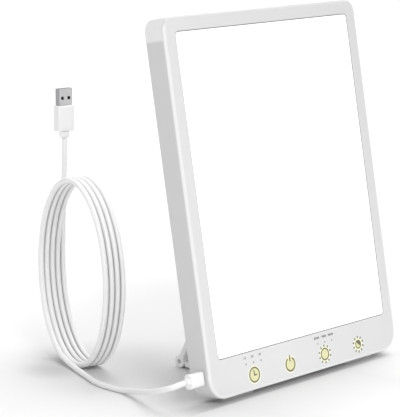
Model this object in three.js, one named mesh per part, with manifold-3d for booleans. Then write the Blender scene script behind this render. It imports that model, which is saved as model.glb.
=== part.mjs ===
// Light therapy lamp: a thin edge-lit panel that leans back on a folding rear stand, with its charging lead.
// Millimetres, +Z up. +X runs along the panel's width and the lit face looks towards -Y.
import * as THREE from 'three';
import { mergeVertices } from 'three/addons/utils/BufferGeometryUtils.js';
import Module from 'manifold-3d';

const wasm = await Module();
wasm.setup();

// Panel shell
const panelWidth = 199;
const panelHeight = 256.5;
const panelDepth = 17;
const panelTiltDegrees = 10.3;
const topCornerRadius = 9;
const bottomCornerRadius = 15;
const frontEdgeRadius = 2;
const rearEdgeRadius = 1.2;
const skinThickness = 1.8;
const wallThickness = 2.4;

// Clearance between pieces that sit on or in each other, and the overrun of every cut
const seatGap = 0.3;
const cutOverrun = 1;

// Lit window and the optical stack behind it
const sideBezel = 10.5;
const topBezel = 10;
const chinHeight = 27;
const windowWidth = panelWidth - 2 * sideBezel;
const windowHeight = panelHeight - chinHeight - topBezel;
const windowCornerRadius = 3;
const diffuserReveal = 0.7;
const diffuserRecess = 0.3;
const stackMargin = 1.5;
const diffuserLipThickness = 1.2;
const lightGuideThickness = 3;
const reflectorThickness = 0.5;

// LED strips along both long edges of the light guide
const stripBoardThickness = 0.8;
const stripBoardWidth = 6;
const stripTailLength = 5;
const ledHeight = 1;
const ledLength = 4;
const ledPitch = 9;

// Rear cover
const coverThickness = 2.4;
const coverRibWidth = 2;
const coverRibInset = 4;

// Self-tapping screws, the same for the cover, the board and the hinge brackets
const screwShankRadius = 0.95;
const screwHeadRadius = 1.9;
const screwHeadHeight = 1;
const screwLength = 8;
const bracketScrewLength = 5;
const screwSeatThickness = 0.8;
const bossRadius = 2.4;
const topScrewFromSide = 29.5;
const topScrewInset = 5.6;
const bottomScrewFromSide = 15.5;
const bottomScrewHeight = 5.6;

// Control board in the chin
const boardBottom = 5;
const boardTop = 24.5;
const boardThickness = 1.6;
const boardDepth = 8;
const boardEndInset = 8.6;
const boardScrewSpacing = 74;
const boardScrewHeight = 20.5;

// Touch icons: four lenses in a row, and two groups of three indicator lights above them
const iconHeight = 10.4;
const iconSpacing = 37.2;
const timerLensRadius = 5.4;
const powerLensRadius = 5.1;
const brightnessLensRadius = 4.2;
const colourLensRadius = 3.2;
const lensRecess = 0.1;
const touchPadRadius = 2.4;
const pipeRadius = 0.65;
const pipeHeight = 18.8;
const pipeSpacing = 7.6;
const timerLightOffset = 0.6;
const levelLightOffset = 1.5;

// Power socket in the left wall and the plug that is pushed into it
const socketHeight = 16.5;
const socketDepth = 7.2;
const socketThickness = 3.6;
const socketWidth = 9;
const socketWall = 0.4;
const socketLength = 7.5;
const socketRecess = 0.8;
const plugClearance = 0.2;
const plugTipLength = 6;
const plugThickness = 6.5;
const plugWidth = 10;
const plugLength = 12.6;
const plugCornerRadius = 2.2;
const plugEdgeRadius = 0.8;
const plugReliefRadius = 2.9;
const plugReliefEndRadius = 2.6;
const plugReliefLength = 2.4;

// Rubber feet under the rear of the panel
const footLift = 1.5;
const footWidth = 30;
const footFromSide = 34.5;
const footFront = 9;
const footRear = 15.5;

// Folding stand: hinge brackets, base plate, knuckle and strut
const hingeStandOff = 5.5;
const hingeHeight = 4;
const hingePinRadius = 1.5;
const hingeLugRadius = 3.2;
const hingeLugThickness = 3;
const bracketFlangeWidth = 12;
const bracketFlangeHeight = 11;
const bracketFlangeThickness = 2;
const bracketFlangeBottom = 3;
const bracketScrewFromTop = 4;
const washerThickness = 0.6;
const plateWidth = 78;
const plateThickness = 3.7;
const plateFloorGap = 1.5;
const plateSetback = 4.6;
const plateBarrelRadius = 3;
const plateNotch = 4;
const plateBarrelWidth = plateWidth - 2 * plateNotch;
const knuckleReach = 72.25;
const knuckleRadius = 4.5;
const knuckleWidth = 6;
const plateRearBarrelRadius = 4;
const knucklePinRadius = 1.45;
const knucklePinRecess = 3;
const strutThickness = 4.2;
const strutCornerRadius = 5;
const strutToeHeight = 103.5;
const toeWidth = 60;
const toeRadius = 2.3;

// Lead: a round cord, coiled in a standing oval of loops
const cordRadius = 2;
const coilTurns = 4;
const coilHalfHeight = 66.5;
const coilHalfWidth = 48.8;
const coilPitch = 4.45;
const coilCentreX = -91;
const coilCentreY = 99.4;
const coilAxisDegrees = -16.5;
const coilStartDegrees = 20;
const coilRingsPerTurn = 24;
const coilSides = 6;

// Type A plug at the far end of the lead
const tipYawDegrees = 8;
const tipReliefWidth = 7.7;
const tipReliefThickness = 5.6;
const tipReliefCornerRadius = 1.9;
const tipReliefLength = 4.6;
const tipBodyWidth = 14.2;
const tipBodyThickness = 7.2;
const tipBodyLength = 18.6;
const tipBodyCornerRadius = 1;
const tipBodyEdgeRadius = 0.8;
const tipShellWidth = 12;
const tipShellThickness = 4.5;
const tipShellLength = 12;
const tipShellWall = 0.4;
const tipWindowSize = 2.2;
const tipWindowSpacing = 5.6;
const tipWindowFromMouth = 6.8;
const tipTongueThickness = 1.8;
const tipTongueRecess = 0.8;

// Facets of round shapes
const cornerSteps = 8;
const edgeSteps = 3;
const roundSides = 24;
const smallSides = 12;
const cordSides = 8;

// Materials
const plastic = { color: 0xe6e6e6, roughness: 0.42, metalness: 0 };
const litScreen = { color: 0xffffff, roughness: 0.6, metalness: 0, emissive: 0xffffff, emissiveIntensity: 1 };
const clearAcrylic = { color: 0xeef3f5, roughness: 0.1, metalness: 0 };
const whiteFilm = { color: 0xf7f7f5, roughness: 0.7, metalness: 0 };
const circuit = { color: 0x2f6b46, roughness: 0.6, metalness: 0 };
const ledBoard = { color: 0xf2efe2, roughness: 0.5, metalness: 0 };
const steel = { color: 0xb4b6b8, roughness: 0.3, metalness: 1 };
const warmLens = { color: 0xfff0b8, roughness: 0.5, metalness: 0 };
const pipeLens = { color: 0xd9d6cc, roughness: 0.4, metalness: 0 };
const foam = { color: 0x3a3a3c, roughness: 0.9, metalness: 0 };
const rubber = { color: 0xd2d2d0, roughness: 0.8, metalness: 0 };
const blackPlastic = { color: 0x1c1c1d, roughness: 0.5, metalness: 0 };
const nylon = { color: 0xeeeeea, roughness: 0.5, metalness: 0 };
const cordJacket = { color: 0xf1f1f1, roughness: 0.5, metalness: 0 };

// Geometry helpers

function meshFrom(group, name, geometry, look) {
  const mesh = new THREE.Mesh(geometry, new THREE.MeshStandardMaterial(look));
  mesh.name = name;
  group.add(mesh);
  return mesh;
}

function solidFrom(geometry) {
  const bare = geometry.clone();
  bare.deleteAttribute('normal');
  bare.deleteAttribute('uv');
  const merged = mergeVertices(bare);
  return new wasm.Manifold(new wasm.Mesh({
    numProp: 3,
    vertProperties: new Float32Array(merged.attributes.position.array),
    triVerts: new Uint32Array(merged.index.array),
  }));
}

function geometryFrom(solid) {
  const raw = solid.getMesh();
  const geometry = new THREE.BufferGeometry();
  geometry.setAttribute('position', new THREE.BufferAttribute(new Float32Array(raw.vertProperties), raw.numProp));
  geometry.setIndex(new THREE.BufferAttribute(new Uint32Array(raw.triVerts), 1));
  geometry.computeVertexNormals();
  return geometry;
}

function join(geometries) {
  return geometries.map(solidFrom).reduce((whole, piece) => whole.add(piece));
}

function cut(body, tools) {
  return tools.map(solidFrom).reduce((whole, tool) => whole.subtract(tool), body);
}

// A box between two corners
function block(x0, x1, y0, y1, z0, z1) {
  const box = new THREE.BoxGeometry(x1 - x0, y1 - y0, z1 - z0);
  return box.translate((x0 + x1) / 2, (y0 + y1) / 2, (z0 + z1) / 2);
}

// A round rod along X, Y or Z from one end to the other
function rodAlongX(radius, x0, x1, y, z, sides = roundSides) {
  const rod = new THREE.CylinderGeometry(radius, radius, x1 - x0, sides);
  return rod.rotateZ(Math.PI / 2).translate((x0 + x1) / 2, y, z);
}

function rodAlongY(radius, y0, y1, x, z, sides = roundSides) {
  const rod = new THREE.CylinderGeometry(radius, radius, y1 - y0, sides);
  return rod.translate(x, (y0 + y1) / 2, z);
}

// A closed skin over a stack of outlines that have the same number of points
function skinOver(rings) {
  const count = rings[0].length;
  const positions = rings.flat().flatMap((point) => [point.x, point.y, point.z]);
  const index = [];
  for (let ring = 0; ring + 1 < rings.length; ring += 1) {
    for (let i = 0; i < count; i += 1) {
      const a = ring * count + i;
      const b = ring * count + ((i + 1) % count);
      index.push(a, b, b + count, a, b + count, a + count);
    }
  }
  const last = (rings.length - 1) * count;
  for (let i = 1; i + 1 < count; i += 1) {
    index.push(0, i + 1, i);
    index.push(last, last + i, last + i + 1);
  }
  const geometry = new THREE.BufferGeometry();
  geometry.setAttribute('position', new THREE.Float32BufferAttribute(positions, 3));
  geometry.setIndex(index);
  geometry.computeVertexNormals();
  return geometry;
}

// Points of an upright rounded rectangle in the XZ plane, clockwise seen from the front
function roundedOutline(halfWidth, bottom, top, bottomRadius, topRadius, inset) {
  const corners = [
    [halfWidth - topRadius, top - topRadius, topRadius - inset, Math.PI / 2],
    [halfWidth - bottomRadius, bottom + bottomRadius, bottomRadius - inset, 0],
    [-halfWidth + bottomRadius, bottom + bottomRadius, bottomRadius - inset, -Math.PI / 2],
    [-halfWidth + topRadius, top - topRadius, topRadius - inset, -Math.PI],
  ];
  const points = [];
  for (const [cx, cz, radius, start] of corners) {
    for (let i = 0; i <= cornerSteps; i += 1) {
      const angle = start - (i / cornerSteps) * (Math.PI / 2);
      points.push([cx + radius * Math.cos(angle), cz + radius * Math.sin(angle)]);
    }
  }
  return points;
}

function panelOutline(inset) {
  return roundedOutline(panelWidth / 2, 0, panelHeight, bottomCornerRadius, topCornerRadius, inset);
}

function ringAt(points, y) {
  return points.map(([x, z]) => new THREE.Vector3(x, y, z));
}

// A flat slab of one outline between two depths
function slab(points, y0, y1) {
  return skinOver([ringAt(points, y0), ringAt(points, y1)]);
}

// A prism whose YZ profile runs along X
function profileAlongX(points, x0, x1) {
  const shape = new THREE.Shape(points.map(([y, z]) => new THREE.Vector2(y, z)));
  const prism = new THREE.ExtrudeGeometry(shape, { depth: x1 - x0, bevelEnabled: false });
  const basis = new THREE.Matrix4().makeBasis(
    new THREE.Vector3(0, 1, 0),
    new THREE.Vector3(0, 0, 1),
    new THREE.Vector3(1, 0, 0),
  );
  return prism.applyMatrix4(basis).translate(x0, 0, 0);
}

// A rounded bar along Z with softened ends: the body of a moulded plug
function mouldedBar(width, thickness, length, cornerRadius, edgeRadius) {
  const rings = [];
  const levels = [];
  for (let i = 0; i <= edgeSteps; i += 1) {
    const angle = (i / edgeSteps) * (Math.PI / 2);
    levels.push([edgeRadius * (1 - Math.cos(angle)), edgeRadius * (1 - Math.sin(angle))]);
  }
  const all = [...levels, ...levels.slice().reverse().map(([z, inset]) => [length - z, inset])];
  for (const [z, inset] of all) {
    const points = roundedOutline(width / 2, -thickness / 2, thickness / 2, cornerRadius, cornerRadius, inset);
    rings.push(points.map(([x, y]) => new THREE.Vector3(x, y, z)).reverse());
  }
  return skinOver(rings);
}

// Assembly frame: the lamp group holds everything but the lead and is centred over its own footprint
const tilt = THREE.MathUtils.degToRad(panelTiltDegrees);
const lamp = new THREE.Group();
const leaning = new THREE.Group();
leaning.rotation.x = -tilt;
leaning.position.z = footLift;
const panel = new THREE.Group();
panel.position.y = -panelDepth;
leaning.add(panel);
lamp.add(leaning);

// The panel group has y = 0 on the front face and z = 0 on the bottom edge
function leanedPoint(y, z) {
  const back = y - panelDepth;
  return [
    back * Math.cos(tilt) + z * Math.sin(tilt),
    footLift - back * Math.sin(tilt) + z * Math.cos(tilt),
  ];
}

// Depths of the optical stack, from the front
const windowBottom = chinHeight;
const windowTop = chinHeight + windowHeight;
const lipFront = skinThickness + seatGap;
const guideFront = lipFront + diffuserLipThickness + seatGap;
const reflectorFront = guideFront + lightGuideThickness + seatGap;
const reflectorRear = reflectorFront + reflectorThickness;
const coverFront = panelDepth - coverThickness;

function windowOutline(grow) {
  const radius = Math.max(windowCornerRadius + grow, seatGap);
  return roundedOutline(windowWidth / 2 + grow, windowBottom - grow, windowTop + grow, radius, radius, 0);
}

// Screw places on the rear, as [x, z]
const coverScrews = [
  [-panelWidth / 2 + topScrewFromSide, panelHeight - topScrewInset],
  [0, panelHeight - topScrewInset],
  [panelWidth / 2 - topScrewFromSide, panelHeight - topScrewInset],
  [-panelWidth / 2 + bottomScrewFromSide, bottomScrewHeight],
  [panelWidth / 2 - bottomScrewFromSide, bottomScrewHeight],
];
const boardScrews = [
  [-boardScrewSpacing / 2, boardScrewHeight],
  [boardScrewSpacing / 2, boardScrewHeight],
];
const screwHoleRadius = screwShankRadius + seatGap;

// Hinge lugs on each side of the base plate's barrel, and the place of the screw in each bracket's flange
const lugInner = plateBarrelWidth / 2 + 2 * seatGap + washerThickness;
const lugOuter = lugInner + hingeLugThickness;
const hingeDepth = panelDepth + hingeStandOff;

function bracketScrewPlace(side) {
  return [
    side * (lugOuter + bracketFlangeWidth / 2),
    bracketFlangeBottom + bracketFlangeHeight - bracketScrewFromTop,
  ];
}

// Icons from left to right, as name, x and lens radius
const icons = [
  ['timer', -1.5 * iconSpacing, timerLensRadius],
  ['power', -0.5 * iconSpacing, powerLensRadius],
  ['brightness', 0.5 * iconSpacing, brightnessLensRadius],
  ['colour', 1.5 * iconSpacing, colourLensRadius],
];
const indicators = [];
for (const [group, x] of [['timer', icons[0][1] + timerLightOffset], ['level', icons[2][1] + levelLightOffset]]) {
  for (let i = 0; i < 3; i += 1) {
    indicators.push([`${group}_light_${i + 1}`, x + (i - 1) * pipeSpacing]);
  }
}

// Front shell: bezel, chin and side walls in one moulding, with softened front and rear edges
function frontShell() {
  const rings = [];
  for (let i = 0; i <= edgeSteps; i += 1) {
    const angle = (i / edgeSteps) * (Math.PI / 2);
    const y = frontEdgeRadius * (1 - Math.sin(angle));
    rings.unshift(ringAt(panelOutline(frontEdgeRadius * (1 - Math.cos(angle))), y));
  }
  for (let i = 0; i <= edgeSteps; i += 1) {
    const angle = (i / edgeSteps) * (Math.PI / 2);
    const y = panelDepth - rearEdgeRadius * (1 - Math.sin(angle));
    rings.push(ringAt(panelOutline(rearEdgeRadius * (1 - Math.cos(angle))), y));
  }
  let body = solidFrom(skinOver(rings));
  const tools = [
    slab(panelOutline(wallThickness), skinThickness, panelDepth + cutOverrun),
    slab(windowOutline(0), -cutOverrun, skinThickness + cutOverrun),
  ];
  for (const [, x, radius] of icons) {
    tools.push(rodAlongY(radius + seatGap, -cutOverrun, skinThickness + cutOverrun, x, iconHeight));
  }
  for (const [, x] of indicators) {
    tools.push(rodAlongY(pipeRadius + seatGap, -cutOverrun, skinThickness + cutOverrun, x, pipeHeight, smallSides));
  }
  tools.push(socketBlock(
    -panelWidth / 2 - cutOverrun,
    -panelWidth / 2 + wallThickness + cutOverrun,
    socketThickness + 2 * seatGap,
    socketWidth + 2 * seatGap,
  ));
  body = cut(body, tools);
  const bosses = [];
  const bores = [];
  for (const [x, z] of coverScrews) {
    bosses.push(rodAlongY(bossRadius, skinThickness / 2, coverFront - seatGap, x, z, smallSides));
    bores.push(rodAlongY(screwHoleRadius, coverFront - screwLength, coverFront, x, z, smallSides));
  }
  for (const [x, z] of boardScrews) {
    bosses.push(rodAlongY(bossRadius, skinThickness / 2, boardDepth - seatGap, x, z, smallSides));
    bores.push(rodAlongY(screwHoleRadius, skinThickness, boardDepth, x, z, smallSides));
  }
  body = body.add(join(bosses));
  return geometryFrom(cut(body, bores));
}

// A rounded block along X at the socket's place, used for the socket, its hole and the plug's tip
function socketBlock(x0, x1, thickness, width) {
  const points = roundedOutline(
    thickness / 2,
    -width / 2,
    width / 2,
    thickness / 2,
    thickness / 2,
    0,
  );
  const end = (x) => points.map(([y, z]) => new THREE.Vector3(x, socketDepth + y, socketHeight + z)).reverse();
  return skinOver([end(x0), end(x1)]);
}

// Diffuser: a raised sheet that fills the window, with a lip behind the bezel
function diffuser() {
  const raised = slab(windowOutline(-diffuserReveal), diffuserRecess, lipFront + diffuserLipThickness);
  const lip = slab(windowOutline(stackMargin), lipFront, lipFront + diffuserLipThickness);
  return geometryFrom(join([raised, lip]));
}

// One LED strip: a narrow board on edge with its LEDs in a row, mirrored for the other side
function ledStrip(side) {
  const ledFace = windowWidth / 2 + stackMargin + seatGap;
  const boardFace = ledFace + ledHeight;
  const points = [
    [side * (boardFace + stripBoardThickness), windowTop],
    [side * (boardFace + stripBoardThickness), windowBottom - stripTailLength],
    [side * boardFace, windowBottom - stripTailLength],
  ];
  const count = Math.floor(windowHeight / ledPitch);
  const first = (windowHeight - (count - 1) * ledPitch) / 2;
  for (let i = 0; i < count; i += 1) {
    const z = windowBottom + first + i * ledPitch;
    points.push(
      [side * boardFace, z - ledLength / 2],
      [side * ledFace, z - ledLength / 2],
      [side * ledFace, z + ledLength / 2],
      [side * boardFace, z + ledLength / 2],
    );
  }
  points.push([side * boardFace, windowTop]);
  const shape = new THREE.Shape(points.map(([x, z]) => new THREE.Vector2(x, z)));
  const strip = new THREE.ExtrudeGeometry(shape, { depth: stripBoardWidth, bevelEnabled: false });
  const middle = guideFront + lightGuideThickness / 2;
  return strip.rotateX(Math.PI / 2).translate(0, middle + stripBoardWidth / 2, 0);
}

// Rear cover: an inset plate with a frame rib that holds the optical stack forward
function rearCover() {
  const plate = slab(panelOutline(wallThickness + seatGap), coverFront, panelDepth);
  const ribFront = reflectorRear + seatGap;
  const rib = cut(solidFrom(slab(windowOutline(-coverRibInset), ribFront, coverFront + coverThickness / 2)), [
    slab(windowOutline(-coverRibInset - coverRibWidth), ribFront - cutOverrun, panelDepth),
  ]);
  const tools = [];
  const seat = coverFront + screwSeatThickness;
  for (const [x, z] of coverScrews) {
    tools.push(rodAlongY(screwHoleRadius, coverFront - cutOverrun, panelDepth, x, z, smallSides));
    tools.push(rodAlongY(screwHeadRadius + seatGap, seat, panelDepth + cutOverrun, x, z, smallSides));
  }
  for (const side of [-1, 1]) {
    const [x, z] = bracketScrewPlace(side);
    tools.push(rodAlongY(screwHoleRadius, coverFront - cutOverrun, panelDepth + cutOverrun, x, z, smallSides));
  }
  return geometryFrom(cut(solidFrom(plate).add(rib), tools));
}

// A pan-head screw whose head sits at the given depth and whose shank points forward
function screw(headFront, x, z, length) {
  const shank = rodAlongY(screwShankRadius, headFront - length, headFront + screwHeadHeight / 2, x, z, smallSides);
  const head = rodAlongY(screwHeadRadius, headFront, headFront + screwHeadHeight, x, z, smallSides);
  return geometryFrom(join([shank, head]));
}

// Control board with notches round the screw bosses of the shell
function controlBoard() {
  const half = panelWidth / 2 - boardEndInset;
  const board = solidFrom(block(-half, half, boardDepth, boardDepth + boardThickness, boardBottom, boardTop));
  const tools = coverScrews.slice(3).map(([x, z]) => (
    rodAlongY(bossRadius + seatGap, boardDepth - cutOverrun, boardDepth + boardThickness + cutOverrun, x, z, smallSides)
  ));
  for (const [x, z] of boardScrews) {
    tools.push(rodAlongY(
      screwHoleRadius, boardDepth - cutOverrun, boardDepth + boardThickness + cutOverrun, x, z, smallSides));
  }
  return geometryFrom(cut(board, tools));
}

// Socket: a metal tunnel open to the left
function powerSocket() {
  const mouth = -panelWidth / 2 + socketRecess;
  const outer = solidFrom(socketBlock(mouth, mouth + socketLength, socketThickness, socketWidth));
  const inner = socketBlock(
    mouth - cutOverrun,
    mouth + socketLength - socketWall,
    socketThickness - 2 * socketWall,
    socketWidth - 2 * socketWall,
  );
  return geometryFrom(cut(outer, [inner]));
}

// A foot whose sole lies level on the floor while the panel leans
function foot(side) {
  const soleAt = (y) => (y - panelDepth) * Math.tan(tilt) - footLift / Math.cos(tilt);
  const profile = [
    [footFront, -seatGap],
    [footFront, soleAt(footFront)],
    [footRear, soleAt(footRear)],
    [footRear, -seatGap],
  ];
  const centre = side * (panelWidth / 2 - footFromSide);
  return profileAlongX(profile, centre - footWidth / 2, centre + footWidth / 2);
}

meshFrom(panel, 'front_shell', frontShell(), plastic);
meshFrom(panel, 'diffuser_screen', diffuser(), litScreen);
const guide = slab(windowOutline(stackMargin), guideFront, guideFront + lightGuideThickness);
meshFrom(panel, 'light_guide_plate', guide, clearAcrylic);
meshFrom(panel, 'reflector_sheet', slab(windowOutline(stackMargin), reflectorFront, reflectorRear), whiteFilm);
meshFrom(panel, 'led_strip_left', ledStrip(-1), ledBoard);
meshFrom(panel, 'led_strip_right', ledStrip(1), ledBoard);
meshFrom(panel, 'rear_cover', rearCover(), plastic);
meshFrom(panel, 'control_board', controlBoard(), circuit);
for (const [name, x, radius] of icons) {
  const lensRear = skinThickness + seatGap;
  meshFrom(panel, `${name}_icon_lens`, rodAlongY(radius, lensRecess, lensRear, x, iconHeight), warmLens);
  const padFront = lensRear + seatGap;
  const pad = rodAlongY(touchPadRadius, padFront, boardDepth - seatGap, x, iconHeight, smallSides);
  meshFrom(panel, `${name}_touch_pad`, pad, foam);
}
for (const [name, x] of indicators) {
  meshFrom(panel, name, rodAlongY(pipeRadius, lensRecess, boardDepth - seatGap, x, pipeHeight, smallSides), pipeLens);
}
meshFrom(panel, 'power_socket', powerSocket(), steel);
coverScrews.forEach(([x, z], i) => {
  const seat = coverFront + screwSeatThickness + seatGap;
  meshFrom(panel, `cover_screw_${i + 1}`, screw(seat, x, z, screwLength), steel);
});
boardScrews.forEach(([x, z], i) => {
  const seat = boardDepth + boardThickness + seatGap;
  meshFrom(panel, `board_screw_${i + 1}`, screw(seat, x, z, boardDepth - skinThickness), steel);
});
meshFrom(panel, 'foot_left', foot(-1), rubber);
meshFrom(panel, 'foot_right', foot(1), rubber);

// Hinge brackets: a lug on a flange, screwed to the rear cover on each side of the base plate
function hingeBracket(side) {
  const rear = panelDepth + seatGap;
  const ordered = (a, b) => [Math.min(side * a, side * b), Math.max(side * a, side * b)];
  const [lug0, lug1] = ordered(lugInner, lugOuter);
  const [flange0, flange1] = ordered(lugInner, lugOuter + bracketFlangeWidth);
  const lug = block(lug0, lug1, rear, hingeDepth, hingeHeight - hingeLugRadius, hingeHeight + hingeLugRadius);
  const flangeTop = bracketFlangeBottom + bracketFlangeHeight;
  const flange = block(flange0, flange1, rear, rear + bracketFlangeThickness, bracketFlangeBottom, flangeTop);
  const eye = rodAlongX(hingeLugRadius, lug0, lug1, hingeDepth, hingeHeight);
  const [x, z] = bracketScrewPlace(side);
  return geometryFrom(cut(join([lug, flange, eye]), [
    rodAlongX(hingePinRadius + seatGap, lug0 - cutOverrun, lug1 + cutOverrun, hingeDepth, hingeHeight, smallSides),
    rodAlongY(screwHoleRadius, panelDepth, rear + bracketFlangeThickness + cutOverrun, x, z, smallSides),
  ]));
}

function hingeWasher(side) {
  const inner = plateBarrelWidth / 2 + seatGap;
  const x0 = side > 0 ? inner : -inner - washerThickness;
  const disc = solidFrom(rodAlongX(plateBarrelRadius, x0, x0 + washerThickness, hingeDepth, hingeHeight, smallSides));
  return geometryFrom(cut(disc, [
    rodAlongX(
      hingePinRadius + seatGap, x0 - cutOverrun, x0 + washerThickness + cutOverrun, hingeDepth, hingeHeight, smallSides),
  ]));
}

for (const [word, side] of [['left', -1], ['right', 1]]) {
  const [x, z] = bracketScrewPlace(side);
  const seat = panelDepth + bracketFlangeThickness + 2 * seatGap;
  meshFrom(panel, `hinge_bracket_${word}`, hingeBracket(side), plastic);
  meshFrom(panel, `bracket_screw_${word}`, screw(seat, x, z, bracketScrewLength), steel);
  meshFrom(panel, `friction_washer_${word}`, hingeWasher(side), nylon);
}
meshFrom(panel, 'hinge_pin', rodAlongX(hingePinRadius, -lugOuter, lugOuter, hingeDepth, hingeHeight, smallSides), steel);

// Stand places in the level frame: y from the panel's rear bottom edge, z from the floor
const [hingeY, hingeZ] = leanedPoint(hingeDepth, hingeHeight);
const knuckleY = knuckleReach;
const knuckleZ = knuckleRadius;
const [toeY, toeZ] = leanedPoint(panelDepth + toeRadius + seatGap, strutToeHeight);
const knuckleInner = plateWidth / 2 - knuckleWidth;

// Base plate: a flat slab on the floor side, a hinge barrel in front and a barrel between the strut's knuckles behind
function basePlate() {
  const top = plateFloorGap + plateThickness;
  const slabFront = hingeY + plateSetback;
  const slabRear = knuckleY - knuckleRadius - 2 * seatGap;
  const rearHalf = knuckleInner - seatGap;
  const pieces = [
    block(-plateWidth / 2, plateWidth / 2, slabFront, slabRear, plateFloorGap, top),
    block(-plateBarrelWidth / 2, plateBarrelWidth / 2, hingeY, slabFront + seatGap, plateFloorGap, top),
    rodAlongX(plateBarrelRadius, -plateBarrelWidth / 2, plateBarrelWidth / 2, hingeY, hingeZ),
    block(-rearHalf, rearHalf, slabRear - seatGap, knuckleY, plateFloorGap, top),
    rodAlongX(plateRearBarrelRadius, -rearHalf, rearHalf, knuckleY, knuckleZ),
  ];
  const reach = plateWidth / 2 + cutOverrun;
  return geometryFrom(cut(join(pieces), [
    rodAlongX(hingePinRadius + seatGap, -reach, reach, hingeY, hingeZ, smallSides),
    rodAlongX(knucklePinRadius + seatGap, -reach, reach, knuckleY, knuckleZ, smallSides),
  ]));
}

meshFrom(lamp, 'stand_base_plate', basePlate(), plastic);
const knucklePinHalf = plateWidth / 2 - knucklePinRecess;
const knucklePin = rodAlongX(knucklePinRadius, -knucklePinHalf, knucklePinHalf, knuckleY, knuckleZ, smallSides);
meshFrom(lamp, 'knuckle_pin', knucklePin, steel);

// Strut frame: origin on the knuckle's axis, +Y towards the toe that leans on the rear cover
const strutLength = Math.hypot(toeY - knuckleY, toeZ - knuckleZ);
const strutFrame = new THREE.Group();
strutFrame.position.set(0, knuckleY, knuckleZ);
strutFrame.rotation.x = Math.atan2(toeZ - knuckleZ, toeY - knuckleY);
lamp.add(strutFrame);

// Strut: a flat plate as wide as the base plate, notched round the base's rear barrel, with a knuckle on each side
function strut() {
  const half = plateWidth / 2;
  const notchHalf = knuckleInner;
  const notchEnd = knuckleRadius + 2 * seatGap;
  const end = strutLength - seatGap;
  const corner = strutCornerRadius;
  const outline = new THREE.Shape();
  outline.moveTo(-half, 0);
  outline.lineTo(-notchHalf, 0);
  outline.lineTo(-notchHalf, notchEnd);
  outline.lineTo(notchHalf, notchEnd);
  outline.lineTo(notchHalf, 0);
  outline.lineTo(half, 0);
  outline.absarc(half - corner, end - corner, corner, 0, Math.PI / 2, false);
  outline.absarc(-half + corner, end - corner, corner, Math.PI / 2, Math.PI, false);
  const plate = new THREE.ExtrudeGeometry(outline, {
    depth: strutThickness,
    bevelEnabled: false,
    curveSegments: cornerSteps,
  }).translate(0, 0, -strutThickness / 2);
  const pieces = [
    plate,
    rodAlongX(knuckleRadius, -half, -knuckleInner, 0, 0),
    rodAlongX(knuckleRadius, knuckleInner, half, 0, 0),
  ];
  return geometryFrom(cut(join(pieces), [
    rodAlongX(knucklePinRadius + seatGap, -half - cutOverrun, half + cutOverrun, 0, 0, smallSides),
  ]));
}

// Toe: a soft half-round strip along the strut's end
function toe() {
  const profile = [];
  for (let i = 0; i <= cornerSteps; i += 1) {
    const angle = Math.PI / 2 - (i / cornerSteps) * Math.PI;
    profile.push([strutLength + toeRadius * Math.cos(angle), toeRadius * Math.sin(angle)]);
  }
  return profileAlongX(profile, -toeWidth / 2, toeWidth / 2);
}

meshFrom(strutFrame, 'stand_strut', strut(), plastic);
meshFrom(strutFrame, 'strut_toe', toe(), rubber);

// Centre the lamp over its footprint before the lead is laid beside it
lamp.updateMatrixWorld(true);
const footprint = new THREE.Box3().setFromObject(lamp, true);
const lampShift = -(footprint.min.y + footprint.max.y) / 2;
lamp.position.y = lampShift;

// Plug in the panel's socket: metal tip, moulded body and a tapered relief, all leaning with the panel
const plugRoot = -panelWidth / 2 - seatGap;
const plugEnd = plugRoot - plugLength;
const tipInset = socketWall + plugClearance;
const plugTip = socketBlock(
  plugRoot,
  plugRoot + plugTipLength,
  socketThickness - 2 * tipInset,
  socketWidth - 2 * tipInset,
);
meshFrom(panel, 'lead_plug_tip', plugTip, steel);
const plugBody = mouldedBar(plugThickness, plugWidth, plugLength, plugCornerRadius, plugEdgeRadius);
plugBody.rotateY(-Math.PI / 2).rotateX(Math.PI / 2);
plugBody.translate(plugRoot - seatGap, socketDepth, socketHeight);
meshFrom(panel, 'lead_plug_body', plugBody, cordJacket);
const reliefRoot = plugEnd - 2 * seatGap;
const plugRelief = new THREE.CylinderGeometry(plugReliefRadius, plugReliefEndRadius, plugReliefLength, smallSides);
plugRelief.rotateZ(-Math.PI / 2).translate(reliefRoot - plugReliefLength / 2, socketDepth, socketHeight);
meshFrom(panel, 'lead_plug_relief', plugRelief, cordJacket);

// The lead's exit in the finished frame, square to the relief's end
const exitX = reliefRoot - plugReliefLength - seatGap;
const [exitLevelY, exitZ] = leanedPoint(socketDepth, socketHeight);
const leadExit = new THREE.Vector3(exitX, exitLevelY + lampShift, exitZ);

// Standing coil: a helix whose turns are upright ovals, seen from the lead's side towards the far plug
const coilAxisAngle = THREE.MathUtils.degToRad(coilAxisDegrees);
const coilAxis = new THREE.Vector3(Math.cos(coilAxisAngle), Math.sin(coilAxisAngle), 0);
const coilAcross = new THREE.Vector3(-Math.sin(coilAxisAngle), Math.cos(coilAxisAngle), 0);
const coilCentre = new THREE.Vector3(coilCentreX, coilCentreY, coilHalfHeight + cordRadius);

function coilPoint(angle) {
  return coilCentre.clone()
    .addScaledVector(coilAxis, (coilPitch * angle) / (2 * Math.PI))
    .addScaledVector(coilAcross, coilHalfWidth * Math.sin(angle))
    .add(new THREE.Vector3(0, 0, -coilHalfHeight * Math.cos(angle)));
}

function coilDirection(angle) {
  return new THREE.Vector3()
    .addScaledVector(coilAxis, coilPitch / (2 * Math.PI))
    .addScaledVector(coilAcross, coilHalfWidth * Math.cos(angle))
    .add(new THREE.Vector3(0, 0, coilHalfHeight * Math.sin(angle)))
    .normalize();
}

const coilStart = THREE.MathUtils.degToRad(coilStartDegrees);
const coilEnd = 2 * Math.PI * coilTurns + Math.PI / 2;
const cordDiameter = 2 * cordRadius;

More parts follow.
